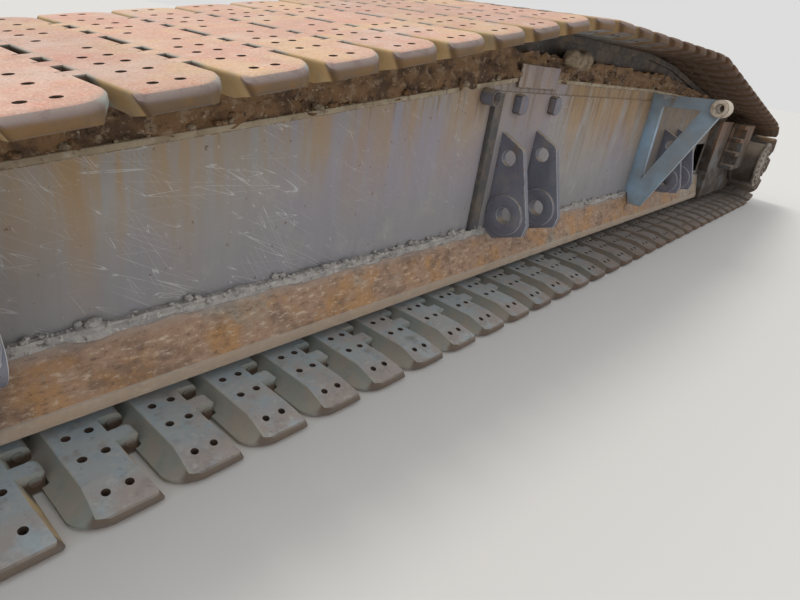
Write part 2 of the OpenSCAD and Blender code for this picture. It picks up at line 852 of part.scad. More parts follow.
outer_wall();
inner_wall();
roof();
floor_plate();
end_plates();
mid_panel();
outer_skirt();
inner_skirt();
bottom_rollers();
roller_pins();
slide_rails();
idler_fork();
idler_blocks();
idler_axle();
tension_cylinders();
idler();
drive_housing();
drive_tumbler();
drive_hub();
travel_gearbox();
gearbox_flange();
travel_motor();
step_box();
drive_post();
near_lugs();
middle_lugs();
far_lugs();
side_bracket();
bracket_tube();
edge_plate();
stop_bosses();
tube_stub();
near_carrier_fork();
far_carrier_fork();
carrier_ties();
track();
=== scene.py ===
import math
import random

import bpy
from mathutils import Matrix, Vector


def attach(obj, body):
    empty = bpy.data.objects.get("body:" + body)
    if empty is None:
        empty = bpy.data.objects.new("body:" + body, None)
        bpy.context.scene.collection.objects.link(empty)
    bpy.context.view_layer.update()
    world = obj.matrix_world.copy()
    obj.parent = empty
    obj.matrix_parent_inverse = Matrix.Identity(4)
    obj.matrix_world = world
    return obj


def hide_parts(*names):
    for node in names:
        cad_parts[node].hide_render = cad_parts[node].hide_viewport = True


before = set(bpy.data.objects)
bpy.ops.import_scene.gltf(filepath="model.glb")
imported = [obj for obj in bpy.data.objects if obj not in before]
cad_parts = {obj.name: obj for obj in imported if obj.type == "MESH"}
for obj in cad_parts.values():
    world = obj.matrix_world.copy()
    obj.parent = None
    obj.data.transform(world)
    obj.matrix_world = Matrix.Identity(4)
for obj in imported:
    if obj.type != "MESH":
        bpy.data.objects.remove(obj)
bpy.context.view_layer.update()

# Camera, floor and light. The camera stands low beside the idler end and looks along
# the outer side; the light is one soft sun from above the inner side and a pale sky.
camera = bpy.data.objects.new("camera", bpy.data.cameras.new("camera"))
bpy.context.scene.collection.objects.link(camera)
bpy.context.scene.camera = camera
camera.data.sensor_width = 36
camera.data.lens = 25.68
camera.data.shift_x = -0.0224
camera.data.shift_y = -0.0162
camera.data.clip_start = 0.05
camera.data.clip_end = 300
stand = Vector((-3.553, -1.782, 1.280))
look_yaw, look_pitch, look_roll = 0.638, 0.415, -0.17
look = Vector((
    math.cos(look_pitch) * math.cos(look_yaw),
    math.cos(look_pitch) * math.sin(look_yaw),
    -math.sin(look_pitch),
))
level = look.cross(Vector((0, 0, 1))).normalized()
down = look.cross(level)
right = math.cos(look_roll) * level + math.sin(look_roll) * down
under = -math.sin(look_roll) * level + math.cos(look_roll) * down
camera.matrix_world = Matrix((
    (right.x, -under.x, -look.x, stand.x),
    (right.y, -under.y, -look.y, stand.y),
    (right.z, -under.z, -look.z, stand.z),
    (0, 0, 0, 1),
))


def set_mode(mode):
    bpy.ops.object.mode_set(mode=mode)


def clear_selection():
    if bpy.context.mode != "OBJECT":
        set_mode("OBJECT")
    bpy.ops.object.select_all(action="DESELECT")


def add_node(tree, kind, sockets=None, **settings):
    """A shader node with its settings; sockets takes plain values and other nodes' outputs."""
    made = tree.nodes.new(kind)
    for setting, value in settings.items():
        setattr(made, setting, value)
    for name, value in (sockets or {}).items():
        socket = made.inputs[name]
        if isinstance(value, bpy.types.NodeSocket):
            tree.links.new(value, socket)
        else:
            socket.default_value = value
    return made


clear_selection()
floor_radius, floor_gap = 60, 0.001
bpy.ops.mesh.primitive_circle_add(
    vertices=96, radius=floor_radius, fill_type="NGON", location=(0, 0, -floor_gap)
)
floor = bpy.context.object
floor.name = "floor"
floor_paint = bpy.data.materials.new("floor_paint")
floor_paint.use_nodes = True
floor_shader = floor_paint.node_tree.nodes["Principled BSDF"]
floor_shader.inputs["Base Color"].default_value = (0.60, 0.58, 0.55, 1)
floor_shader.inputs["Roughness"].default_value = 0.9
floor.data.materials.append(floor_paint)

sun = bpy.data.objects.new("sun", bpy.data.lights.new("sun", "SUN"))
bpy.context.scene.collection.objects.link(sun)
sun.data.energy = 1.25
sun.data.angle = 0.30
sun.data.color = (1.0, 0.96, 0.90)
towards_sun = Vector((-0.25, 0.40, 0.88))
sun.rotation_euler = towards_sun.to_track_quat("Z", "Y").to_euler()

sky = bpy.data.worlds.new("sky")
sky.use_nodes = True
bpy.context.scene.world = sky
sky.node_tree.nodes.clear()
sky_ray = add_node(sky.node_tree, "ShaderNodeLightPath").outputs
sky_mirrored = add_node(sky.node_tree, "ShaderNodeMath", {
    0: sky_ray["Is Glossy Ray"], 1: sky_ray["Is Transmission Ray"],
}, operation="MAXIMUM")
sky_shown = add_node(sky.node_tree, "ShaderNodeMath", {
    0: sky_ray["Is Camera Ray"], 1: sky_mirrored.outputs[0],
}, operation="MAXIMUM")
sky_light = add_node(sky.node_tree, "ShaderNodeBackground", {
    "Color": (0.93, 0.96, 1.0, 1), "Strength": 0.98,
})
sky_seen = add_node(sky.node_tree, "ShaderNodeBackground", {
    "Color": (0.72, 0.72, 0.72, 1), "Strength": 1.0,
})
sky_mix = add_node(sky.node_tree, "ShaderNodeMixShader", {
    0: sky_shown.outputs[0], 1: sky_light.outputs[0], 2: sky_seen.outputs[0],
})
add_node(sky.node_tree, "ShaderNodeOutputWorld", {"Surface": sky_mix.outputs[0]})
bpy.context.scene.view_settings.view_transform = "Standard"

# Girder: the box of two walls, roof, floor and end plates, and the doubler plate of the
# middle lugs. Rolled plate, cut and welded, under grey paint that rust runs down over.


def start_group(name, inputs, outputs):
    """A shader node group with named float inputs and outputs, and its two end nodes."""
    tree = bpy.data.node_groups.new(name, "ShaderNodeTree")
    for label, value in inputs.items():
        socket = tree.interface.new_socket(label, in_out="INPUT", socket_type="NodeSocketFloat")
        socket.default_value = value
    for label in outputs:
        tree.interface.new_socket(label, in_out="OUTPUT", socket_type="NodeSocketFloat")
    return tree, add_node(tree, "NodeGroupInput").outputs, add_node(tree, "NodeGroupOutput").inputs


def maths(tree, operation, a, b=0.5, clamp=False):
    made = add_node(tree, "ShaderNodeMath", {0: a, 1: b}, operation=operation, use_clamp=clamp)
    return made.outputs[0]


def times(tree, mask, *others, clamp=False):
    """The product of masks and plain numbers."""
    for other in others:
        mask = maths(tree, "MULTIPLY", mask, other, clamp)
    return mask


def stretched(tree, vector, stretch, turn=(0, 0, 0)):
    return add_node(tree, "ShaderNodeMapping", {
        "Vector": vector, "Scale": stretch, "Rotation": turn,
    }).outputs[0]


def between(tree, value, low, high, start=0.0, end=1.0):
    """A smooth step from start to end while the value goes from low to high."""
    return add_node(tree, "ShaderNodeMapRange", {
        "Value": value, "From Min": low, "From Max": high, "To Min": start, "To Max": end,
    }, interpolation_type="SMOOTHSTEP").outputs[0]


def object_place(tree):
    return add_node(tree, "ShaderNodeTexCoord").outputs["Object"]


def axes(tree, vector):
    """The X, Y and Z of a vector."""
    return add_node(tree, "ShaderNodeSeparateXYZ", {0: vector}).outputs


def cloud(tree, vector, scale, detail, roughness=0.6):
    """A grey noise on a place."""
    return add_node(tree, "ShaderNodeTexNoise", {
        "Vector": vector, "Scale": scale, "Detail": detail, "Roughness": roughness,
    }).outputs[0]


# Blotches: soft-edged patches of a noise between two levels
blotches, ins, outs = start_group(
    "blotches", {"Scale": 5, "Low": 0.5, "High": 0.6, "Shift": 0, "Detail": 5}, ["Mask"]
)
moved = add_node(blotches, "ShaderNodeVectorMath", {
    0: object_place(blotches), 1: ins["Shift"],
}, operation="ADD").outputs[0]
patches = cloud(blotches, moved, ins["Scale"], ins["Detail"], 0.62)
blotches.links.new(between(blotches, patches, ins["Low"], ins["High"]), outs["Mask"])

# Rust runs: streaks that start at a height and fade on their way down
rust_runs, ins, outs = start_group(
    "rust_runs", {"Top": 1.15, "Length": 0.5, "Scale": 9, "Amount": 0.5}, ["Mask"]
)
run_place = object_place(rust_runs)
run_streaks = cloud(rust_runs, stretched(rust_runs, run_place, (1, 1, 0.045)), ins["Scale"], 7)
below_top = maths(rust_runs, "SUBTRACT", ins["Top"], axes(rust_runs, run_place)["Z"])
below_top = maths(rust_runs, "DIVIDE", below_top, ins["Length"])
fading = between(rust_runs, below_top, 0.0, 1.0, 1.0, 0.0)
raised = maths(rust_runs, "ADD", run_streaks, times(rust_runs, fading, 0.26))
bar = maths(rust_runs, "SUBTRACT", 1.16, ins["Amount"])
run_mask = between(rust_runs, raised, bar, maths(rust_runs, "ADD", bar, 0.14))
rust_runs.links.new(times(rust_runs, run_mask, fading), outs["Mask"])

# Scratches: thin lines along the contours of a stretched noise, broken up by a second one
scratches, ins, outs = start_group(
    "scratches", {"Scale": 2, "Width": 0.008, "Slope": 0.1, "Spread": 0.55}, ["Mask"]
)
line_turn = add_node(scratches, "ShaderNodeCombineXYZ", {"Y": ins["Slope"]}).outputs[0]
line_place = stretched(scratches, object_place(scratches), (1, 1, 1), line_turn)
line_place = stretched(scratches, line_place, (0.35, 1, 5))
lines = add_node(scratches, "ShaderNodeTexNoise", {
    "Vector": line_place, "Scale": ins["Scale"], "Detail": 1.2, "Distortion": 0.15,
})
off_line = maths(scratches, "ABSOLUTE", maths(scratches, "SUBTRACT", lines.outputs[0], 0.5))
thin = between(scratches, off_line, 0.0, ins["Width"], 1.0, 0.0)
breaks = cloud(scratches, object_place(scratches), 3.1, 6, 0.7)
kept = between(scratches, breaks, ins["Spread"], maths(scratches, "ADD", ins["Spread"], 0.06))
scratches.links.new(times(scratches, thin, kept), outs["Mask"])

# Settled dust: lies on what faces up, in a broken film
settled_dust, ins, outs = start_group("settled_dust", {"Cover": 0.5, "Scale": 14}, ["Mask"])
normal = add_node(settled_dust, "ShaderNodeNewGeometry").outputs["Normal"]
faces_up = axes(settled_dust, normal)["Z"]
film = cloud(settled_dust, object_place(settled_dust), ins["Scale"], 6, 0.65)
film_bar = maths(settled_dust, "SUBTRACT", 1.0, ins["Cover"])
broken = between(settled_dust, film, maths(settled_dust, "SUBTRACT", film_bar, 0.12), film_bar)
settled_dust.links.new(
    times(settled_dust, between(settled_dust, faces_up, 0.25, 0.85), broken), outs["Mask"]
)

# Grit: the height of a rough skin, with a coarse and a fine grain
grit, ins, outs = start_group("grit", {"Coarse": 12, "Fine": 160, "Share": 0.4}, ["Height"])
coarse = cloud(grit, object_place(grit), ins["Coarse"], 5)
fine = cloud(grit, object_place(grit), ins["Fine"], 3)
grit_mix = add_node(grit, "ShaderNodeMix", {"Factor": ins["Share"], "A": coarse, "B": fine})
grit.links.new(grit_mix.outputs[0], outs["Height"])


def placed(tree, group, **values):
    """One of the shared groups, placed in a material with its own values."""
    made = add_node(tree, "ShaderNodeGroup", node_tree=group)
    for label, value in values.items():
        made.inputs[label].default_value = value
    return made.outputs[0]


def over(tree, below, colour, mask, share=1.0):
    """Lays a colour over the one below wherever the mask is."""
    if share != 1.0:
        mask = times(tree, mask, share)
    made = tree.nodes.new("ShaderNodeMix")
    made.data_type = "RGBA"
    for slot, value in ((0, mask), (6, below), (7, colour)):  # Factor, A and B of a colour mix
        if isinstance(value, bpy.types.NodeSocket):
            tree.links.new(value, made.inputs[slot])
        else:
            made.inputs[slot].default_value = (*value, 1) if slot else value
    return made.outputs[2]


def patched(tree, colour, *coats):
    """Lays coats of paint or dirt over a colour, each in blotches of its own.

    A coat is its colour, its blotches' scale, low and high, and then shift, share and detail.
    """
    for paint, scale, low, high, *more in coats:
        shift, share, detail = more + [0, 1.0, 5][len(more):]
        mask = placed(tree, blotches, Scale=scale, Low=low, High=high, Shift=shift, Detail=detail)
        colour = over(tree, colour, paint, mask, share)
    return colour


def new_finish(name, metallic=0.0):
    """An empty material: its tree and its Principled BSDF."""
    made = bpy.data.materials.new(name)
    made.use_nodes = True
    shader = made.node_tree.nodes["Principled BSDF"]
    shader.inputs["Metallic"].default_value = metallic
    return made, made.node_tree, shader


def surface(tree, shader, colour, rough, bump, **grain):
    """Joins a colour, a range of roughness and a bump's strength and depth to the shader."""
    tree.links.new(colour, shader.inputs["Base Color"])
    skin = placed(tree, grit, **grain)
    tree.links.new(between(tree, skin, 0.3, 0.7, *rough), shader.inputs["Roughness"])
    strength, depth = bump
    relief = add_node(tree, "ShaderNodeBump", {
        "Height": skin, "Strength": strength, "Distance": depth,
    })
    tree.links.new(relief.outputs[0], shader.inputs["Normal"])


def along_girder(tree, amounts):
    """How much of an effect there is along the girder, from pairs of place and amount."""
    first, last = amounts[0][0], amounts[-1][0]
    share = add_node(tree, "ShaderNodeMapRange", {
        "Value": axes(tree, object_place(tree))["X"], "From Min": first, "From Max": last,
    }).outputs[0]
    ramp = add_node(tree, "ShaderNodeValToRGB", {0: share})
    stops = ramp.color_ramp.elements
    stops[0].color = (amounts[0][1],) * 3 + (1,)
    stops[1].color = (amounts[-1][1],) * 3 + (1,)
    for place, amount in amounts[1:-1]:
        stops.new((place - first) / (last - first)).color = (amount,) * 3 + (1,)
    return ramp.outputs[0]


roof_line = ((-3.662, 0.793), (-0.865, 1.165), (1.010, 1.165), (2.755, 1.108), (3.585, 0.958))
girder_paint, tree, shader = new_finish("girder_paint")
wall_height = axes(tree, object_place(tree))["Z"]
fine_place = stretched(tree, object_place(tree), (1, 1, 0.10))
fine_streaks = between(tree, cloud(tree, fine_place, 26, 5, 0.65), 0.40, 0.62)
broad_place = stretched(tree, object_place(tree), (1, 1, 0.12))
broad_streaks = between(tree, cloud(tree, broad_place, 7, 6), 0.40, 0.60)
colour = patched(tree, (0.310, 0.285, 0.265), ((0.290, 0.262, 0.290), 1.3, 0.42, 0.60, 0, 1.0, 4))
colour = over(tree, colour, (0.262, 0.255, 0.260), between(tree, wall_height, 0.80, 0.42), 0.75)
colour = patched(tree, colour, ((0.36, 0.335, 0.31), 5, 0.52, 0.70, 3, 0.5))
colour = over(tree, colour, (0.185, 0.155, 0.125), fine_streaks, 0.11)
below_roof = maths(tree, "SUBTRACT", along_girder(tree, roof_line), wall_height)
under_roof = between(tree, below_roof, 0.34, 0.0)
rust_places = along_girder(tree, (
    (-4.0, 0.85), (-3.18, 0.75), (-3.08, 0.25), (-2.98, 0.95), (-2.88, 0.85), (-2.80, 0.35),
    (-2.68, 0.80), (-2.56, 0.40), (-2.40, 0.65), (-1.9, 0.45), (-1.3, 0.55), (-1.05, 0.20),
    (-0.55, 0.30), (-0.3, 1.0), (1.2, 1.0), (3.2, 0.8),
))
near_lug_shade = along_girder(tree, (
    (-4.0, 0.0), (-1.25, 0.0), (-1.08, 1.0), (-0.50, 0.9), (-0.25, 0.0), (3.2, 0.0),
))
colour = over(tree, colour, (0.185, 0.170, 0.178), near_lug_shade, 0.15)
streaks = maths(tree, "ADD", times(tree, broad_streaks, 0.6), times(tree, fine_streaks, 0.5))
rust_film = times(tree, rust_places, under_roof, streaks, clamp=True)
colour = over(tree, colour, (0.430, 0.262, 0.088), rust_film)
rusted_end = along_girder(tree, ((-4.0, 0.0), (-0.45, 0.0), (-0.15, 1.0), (3.2, 1.0)))
deep_rust = times(tree, rusted_end, fine_streaks, between(tree, below_roof, 0.62, 0.10))
colour = over(tree, colour, (0.205, 0.120, 0.052), deep_rust, 0.75)
rust_reach = between(tree, below_roof, 0.58, 0.10)
rust_tail = times(tree, rust_places, broad_streaks, rust_reach, clamp=True)
colour = over(tree, colour, (0.34, 0.215, 0.110), rust_tail, 0.85)
thin_runs = placed(tree, rust_runs, Top=1.17, Length=0.55, Amount=0.46, Scale=30)
colour = over(tree, colour, (0.17, 0.095, 0.045), thin_runs, 0.6)
colour = patched(tree, colour, ((0.15, 0.075, 0.035), 38, 0.665, 0.70, 7, 0.8, 6))
# Painted shade and dirt: the wall behind the side bracket and far lugs is darkened to a dark grey
# brown.
bracket_shade_and_dirt = along_girder(tree, ((-4.0, 0.0), (0.95, 0.0), (1.20, 1.0), (3.0, 0.9), (3.2, 0.9)))
colour = over(tree, colour, (0.105, 0.086, 0.072), bracket_shade_and_dirt, 0.70)
scratched_places = along_girder(tree, (
    (-4.0, 0.5), (-3.1, 0.7), (-2.95, 1.0), (-2.2, 1.0), (-1.9, 0.25), (-1.45, 0.15),
    (-1.36, 0.7), (-1.2, 0.0), (-0.6, 0.0), (-0.45, 0.7), (-0.3, 0.1), (3.2, 0.2),
))
for scale, width, slant, spread in (
    (4.4, 0.0065, -0.5, 0.44), (5.6, 0.008, -1.05, 0.48), (2.3, 0.0022, -0.03, 0.44),
):
    hairlines = placed(tree, scratches, Scale=scale, Width=width, Slope=slant, Spread=spread)
    hairlines = times(tree, scratched_places, hairlines)
    colour = over(tree, colour, (0.60, 0.59, 0.57), hairlines, 0.62)
colour = patched(tree, colour, ((0.50, 0.48, 0.45), 60, 0.68, 0.71, 2, 0.8, 4))
colour = over(tree, colour, (0.33, 0.25, 0.165), placed(tree, settled_dust, Cover=0.66), 0.9)
surface(tree, shader, colour, rough=(0.50, 0.80), bump=(0.3, 0.002), Coarse=9, Fine=220, Share=0.45)

worn_edge, tree, shader = new_finish("worn_edge", 0.55)
colour = patched(
    tree, (0.30, 0.26, 0.205),
    ((0.20, 0.125, 0.07), 17, 0.42, 0.60),
    ((0.44, 0.40, 0.35), 70, 0.52, 0.62, 2),
)
surface(tree, shader, colour, rough=(0.38, 0.70), bump=(0.3, 0.001), Coarse=40, Fine=300)


def select_where(test, kind="FACE"):
    """In edit mode, selects the faces whose middle and normal pass the test, or the edges
    whose middle and direction do."""
    bpy.ops.mesh.select_mode(type=kind)
    bpy.ops.mesh.select_all(action="DESELECT")
    set_mode("OBJECT")
    mesh = bpy.context.object.data
    for part in mesh.edges if kind == "EDGE" else mesh.polygons:
        if kind == "EDGE":
            ends = [mesh.vertices[i].co for i in part.vertices]
            part.select = bool(test((ends[0] + ends[1]) / 2, (ends[1] - ends[0]).normalized()))
        else:
            part.select = bool(test(part.center, part.normal))
    set_mode("EDIT")


bevel_angle, smooth_angle = math.radians(35), math.radians(32)


def apply_place():
    bpy.ops.object.transform_apply(location=True, rotation=True, scale=True)


def apply_modifier(kind, **settings):
    made = bpy.context.object.modifiers.new(kind.lower(), kind)
    for setting, value in settings.items():
        setattr(made, setting, value)
    bpy.ops.object.modifier_apply(modifier=made.name)


def choose(piece):
    """Makes one piece the only selected one, and the active one."""
    clear_selection()
    piece.select_set(True)
    bpy.context.view_layer.objects.active = piece


def clean(doubles, flat_angle):
    """Merges the active piece's doubled points, and its faces that lie in one plane."""
    set_mode("EDIT")
    bpy.ops.mesh.select_all(action="SELECT")
    bpy.ops.mesh.remove_doubles(threshold=doubles)
    bpy.ops.mesh.dissolve_limited(angle_limit=math.radians(flat_angle))
    set_mode("OBJECT")


def eased_copy(node, body, paint, width, edge_paint=None):
    """A copy of a CAD plate or casting with its edges eased and worn, in the node's place."""
    piece = bpy.data.objects.new(node + "_eased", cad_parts[node].data.copy())
    bpy.context.scene.collection.objects.link(piece)
    choose(piece)
    clean(doubles=0.00002, flat_angle=0.5)
    piece.data.materials.clear()
    piece.data.materials.append(paint)
    piece.data.materials.append(edge_paint or worn_edge)
    apply_modifier(
        "BEVEL", width=width, segments=2, limit_method="ANGLE", angle_limit=bevel_angle, material=1
    )
    bpy.ops.object.shade_smooth_by_angle(angle=smooth_angle)
    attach(piece, body)
    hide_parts(node)


def paint_node(node, paint):
    """Gives a CAD node that keeps its shape its finish."""
    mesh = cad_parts[node].data
    mesh.materials.clear()
    mesh.materials.append(paint)


for node in ("outer_wall", "edge_plate"):
    eased_copy(node, "side_frame", girder_paint, 0.003)
# Near black paint with brown grime: on the panel rib it is painted shade at the doubler panel's
# thick edge; the bosses' and stub's eased edges take it too.
panel_edge, tree, shader = new_finish("panel_edge")
colour = patched(tree, (0.092, 0.085, 0.085), ((0.155, 0.125, 0.10), 15, 0.45, 0.62))
surface(tree, shader, colour, rough=(0.60, 0.85), bump=(0.4, 0.002), Coarse=30, Fine=240)
eased_copy("mid_panel", "side_frame", girder_paint, 0.003, girder_paint)
roof_rust, tree, shader = new_finish("roof_rust")
colour = patched(
    tree, (0.36, 0.285, 0.190),
    ((0.27, 0.205, 0.130), 9, 0.42, 0.62),
    ((0.42, 0.37, 0.30), 28, 0.54, 0.66, 4, 0.6),
    ((0.13, 0.085, 0.050), 21, 0.55, 0.65, 11, 0.7),
)
surface(tree, shader, colour, rough=(0.60, 0.90), bump=(0.5, 0.003), Coarse=22, Fine=240)
eased_copy("roof", "side_frame", roof_rust, 0.003, roof_rust)
for node in ("inner_wall", "floor_plate", "end_plates"):
    paint_node(node, girder_paint)

clear_selection()
rib_middle, rib_size = (-1.101, -0.246, 0.728), (0.068, 0.032, 0.700)
rib_rim, rib_depth, rib_edge = 0.017, 0.014, 0.005
bpy.ops.mesh.primitive_cube_add(size=1, location=rib_middle, scale=rib_size)
apply_place()
panel_rib = bpy.context.object
panel_rib.name = "panel_rib"
set_mode("EDIT")
select_where(lambda c, n: n.y < -0.9)
bpy.ops.mesh.inset(thickness=rib_rim)
bpy.ops.transform.translate(value=(0, rib_depth, 0))
set_mode("OBJECT")
apply_modifier("BEVEL", width=rib_edge, segments=2, limit_method="ANGLE", angle_limit=bevel_angle)
bpy.ops.object.shade_smooth_by_angle(angle=smooth_angle)
# Painted shade: the rib's near black paint.
panel_rib.data.materials.append(panel_edge)
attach(panel_rib, "side_frame")

# Skirts: sloped plates under both walls with a thick lower flange. The paint is gone, so
# they are rust with pale scuffs, and the flange's lower edge is worn bright.
skirt_rust, tree, shader = new_finish("skirt_rust")
skirt_height = axes(tree, object_place(tree))["Z"]
colour = patched(
    tree, (0.335, 0.200, 0.122),
    ((0.40, 0.205, 0.075), 4.5, 0.46, 0.62),
    ((0.290, 0.285, 0.235), 3.1, 0.50, 0.62, 5, 0.7),
    ((0.130, 0.072, 0.045), 9, 0.48, 0.66, 12, 0.7, 7),
)
scuffs = cloud(tree, stretched(tree, object_place(tree), (0.60, 1, 1.5)), 38, 7, 0.75)
colour = over(tree, colour, (0.62, 0.49, 0.36), between(tree, scuffs, 0.52, 0.68), 0.75)
colour = over(tree, colour, (0.11, 0.058, 0.033), between(tree, scuffs, 0.46, 0.34), 0.8)
colour = over(tree, colour, (0.30, 0.285, 0.27), between(tree, skirt_height, 0.31, 0.36), 0.5)
colour = over(tree, colour, (0.40, 0.325, 0.250), between(tree, skirt_height, 0.182, 0.176), 0.75)
colour = over(tree, colour, (0.36, 0.31, 0.26), placed(tree, settled_dust, Cover=0.55), 0.7)
surface(tree, shader, colour, rough=(0.60, 0.90), bump=(0.8, 0.004), Coarse=30, Fine=240)
for node in ("outer_skirt", "inner_skirt"):
    eased_copy(node, "side_frame", skirt_rust, 0.004, skirt_rust)

# Rollers, pins and slide rails: cast rollers run on the shoes inside the lower run, and
# flat bars carry the upper run. They are bare steel, dark with grease and dirt.
roller_steel, tree, shader = new_finish("roller_steel", 0.45)
colour = patched(
    tree, (0.075, 0.066, 0.058),
    ((0.15, 0.105, 0.075), 9, 0.42, 0.62),
    ((0.30, 0.25, 0.20), 42, 0.6, 0.68, 4, 0.7),
)
colour = over(tree, colour, (0.27, 0.21, 0.15), placed(tree, settled_dust, Cover=0.6), 0.8)
surface(tree, shader, colour, rough=(0.40, 0.75), bump=(0.4, 0.002), Coarse=16, Fine=190)
for node in ("bottom_rollers", "roller_pins", "slide_rails", "idler_axle", "tension_cylinders"):
    paint_node(node, roller_steel)

# Idler end: a cast idler wheel on a forged axle. Its cast blocks slide between two fork
# plates, which are welded to the girder's end and wear the girder's paint.
eased_copy("idler_fork", "side_frame", girder_paint, 0.004)
eased_copy("idler_blocks", "side_frame", roller_steel, 0.004)
eased_copy("idler", "idler_wheel", roller_steel, 0.005)

# Drive end: welded housing plates, the cast tumbler with its hub, and the gearbox and motor
# bolted inside it. All are dark with oil and dust; a ring of bolts holds the flange.
drive_paint, tree, shader = new_finish("drive_paint")
colour = patched(
    tree, (0.085, 0.064, 0.047),
    ((0.052, 0.037, 0.026), 5, 0.4, 0.6),
    ((0.12, 0.12, 0.118), 3, 0.52, 0.60, 6, 0.8),
)
oily_runs = placed(tree, rust_runs, Top=0.95, Length=0.8, Amount=0.5, Scale=18)
colour = over(tree, colour, (0.24, 0.11, 0.045), oily_runs, 0.6)
colour = over(tree, colour, (0.28, 0.22, 0.16), placed(tree, settled_dust, Cover=0.6), 0.9)
surface(tree, shader, colour, rough=(0.45, 0.85), bump=(0.5, 0.003), Coarse=14, Fine=200)
for node in ("drive_housing", "travel_gearbox", "travel_motor", "step_box", "drive_post"):
    eased_copy(node, "side_frame", drive_paint, 0.004, drive_paint)
flange_steel, tree, shader = new_finish("flange_steel", 0.2)
colour = patched(
    tree, (0.255, 0.215, 0.175),
    ((0.14, 0.10, 0.075), 9, 0.46, 0.62),
    ((0.40, 0.36, 0.31), 44, 0.56, 0.66, 3, 0.6),
)
surface(tree, shader, colour, rough=(0.50, 0.80), bump=(0.4, 0.002), Coarse=20, Fine=220)
eased_copy("gearbox_flange", "side_frame", flange_steel, 0.005, flange_steel)


def copied(model, place):
    """A copy of a model with its own mesh, which is moved by a matrix."""
    copy = model.copy()
    copy.data = model.data.copy()
    copy.data.transform(place)
    bpy.context.scene.collection.objects.link(copy)
    return copy


def join_all(pieces, name):
    """One object made of the pieces, under a name of its own."""
    clear_selection()
    for piece in pieces:
        piece.select_set(True)
    bpy.context.view_layer.objects.active = pieces[0]
    bpy.ops.object.join()
    pieces[0].name = name
    return pieces[0]


gearbox_x, gearbox_z = 4.318, 0.490
bolt_ring_r, bolt_count, bolt_y = 0.212, 20, -0.634
bolt_r, bolt_head, bolt_edge = 0.017, 0.018, 0.003
clear_selection()
bpy.ops.mesh.primitive_cylinder_add(
    vertices=6, radius=bolt_r, depth=bolt_head, rotation=(math.pi / 2, 0, 0),
    location=(gearbox_x, bolt_y, gearbox_z + bolt_ring_r),
)
apply_place()
bolt = bpy.context.object
set_mode("EDIT")
select_where(lambda c, n: n.y < -0.9)
bpy.ops.mesh.bevel(offset=bolt_edge, segments=2, affect="EDGES")
set_mode("OBJECT")
axle = Matrix.Translation((gearbox_x, 0, gearbox_z))
flange_bolts = join_all([
    copied(bolt, axle @ Matrix.Rotation(k * math.tau / bolt_count, 4, "Y") @ axle.inverted())
    for k in range(bolt_count)
], "flange_bolts")
bpy.data.objects.remove(bolt)
flange_bolts.data.materials.append(flange_steel)
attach(flange_bolts, "side_frame")
eased_copy("drive_tumbler", "drive_wheel", roller_steel, 0.006)
paint_node("drive_hub", roller_steel)

# Lugs: pairs of thick steel plates with ringed bores, cut and welded to the wall on the
# outer side, in dark paint with bright worn edges. The stops and the stub match them.


def painted_plate(name, paint, shade, run_top, run_length, run_amount, chips, scratch_spread):
    """Weathered paint on plate: patchy colour, rust runs, chips, scratches and dust."""
    made, tree, shader = new_finish(name)
    colour = patched(
        tree, paint,
        (shade, 1.6, 0.38, 0.66, 0, 1.0, 4),
        ((0.30, 0.27, 0.22), 7, 0.50, 0.75, 3, 0.45),
    )
    for rust, length, amount, scale in (
        ((0.23, 0.14, 0.065), run_length, run_amount, 11),
        ((0.30, 0.115, 0.035), run_length * 0.6, run_amount - 0.06, 26),
    ):
        mask = placed(tree, rust_runs, Top=run_top, Length=length, Amount=amount, Scale=scale)
        colour = over(tree, colour, rust, mask, 0.75)
    colour = patched(tree, colour, ((0.16, 0.07, 0.03), 38, chips, chips + 0.04, 7, 0.85, 6))
    mask = placed(tree, scratches, Scale=1.5, Slope=0.25, Spread=scratch_spread)
    colour = over(tree, colour, (0.50, 0.49, 0.46), mask, 0.7)
    mask = placed(tree, scratches, Scale=3.5, Width=0.006, Slope=-0.5, Spread=scratch_spread + 0.04)
    colour = over(tree, colour, (0.45, 0.44, 0.42), mask, 0.6)
    colour = over(tree, colour, (0.36, 0.29, 0.21), placed(tree, settled_dust, Cover=0.62), 0.9)
    surface(
        tree, shader, colour, rough=(0.50, 0.80), bump=(0.25, 0.002), Coarse=9, Fine=220, Share=0.35
    )
    return made


lug_paint = painted_plate(
    "lug_paint", (0.145, 0.148, 0.185), (0.180, 0.178, 0.215),
    run_top=0.88, run_length=0.45, run_amount=0.40, chips=0.64, scratch_spread=0.58,
)
lug_edge, tree, shader = new_finish("lug_edge", 0.3)
colour = patched(tree, (0.60, 0.585, 0.57), ((0.22, 0.20, 0.20), 12, 0.50, 0.62))
surface(tree, shader, colour, rough=(0.35, 0.65), bump=(0.3, 0.001), Coarse=40, Fine=300)
for node in ("near_lugs", "middle_lugs", "far_lugs"):
    eased_copy(node, "side_frame", lug_paint, 0.006, lug_edge)
for node in ("stop_bosses", "tube_stub"):
    eased_copy(node, "side_frame", lug_paint, 0.004, panel_edge)

# Side bracket: a triangle of flat steel bars, welded together and to the wall, that holds
# a short cross tube. Its paint is a worn blue grey, and the tube's has faded to tan.
bracket_paint = painted_plate(
    "bracket_paint", (0.350, 0.505, 0.660), (0.240, 0.290, 0.330),
    run_top=1.18, run_length=0.35, run_amount=0.38, chips=0.70, scratch_spread=0.60,
)
eased_copy("side_bracket", "side_frame", bracket_paint, 0.005)
tube_paint, tree, shader = new_finish("tube_paint")
colour = patched(
    tree, (0.52, 0.44, 0.35),
    ((0.36, 0.27, 0.19), 16, 0.5, 0.7),
    ((0.20, 0.09, 0.04), 45, 0.6, 0.66, 3, 0.8),
)
surface(tree, shader, colour, rough=(0.45, 0.75), bump=(0.3, 0.001), Coarse=30, Fine=260)
eased_copy("bracket_tube", "side_frame", tube_paint, 0.004)

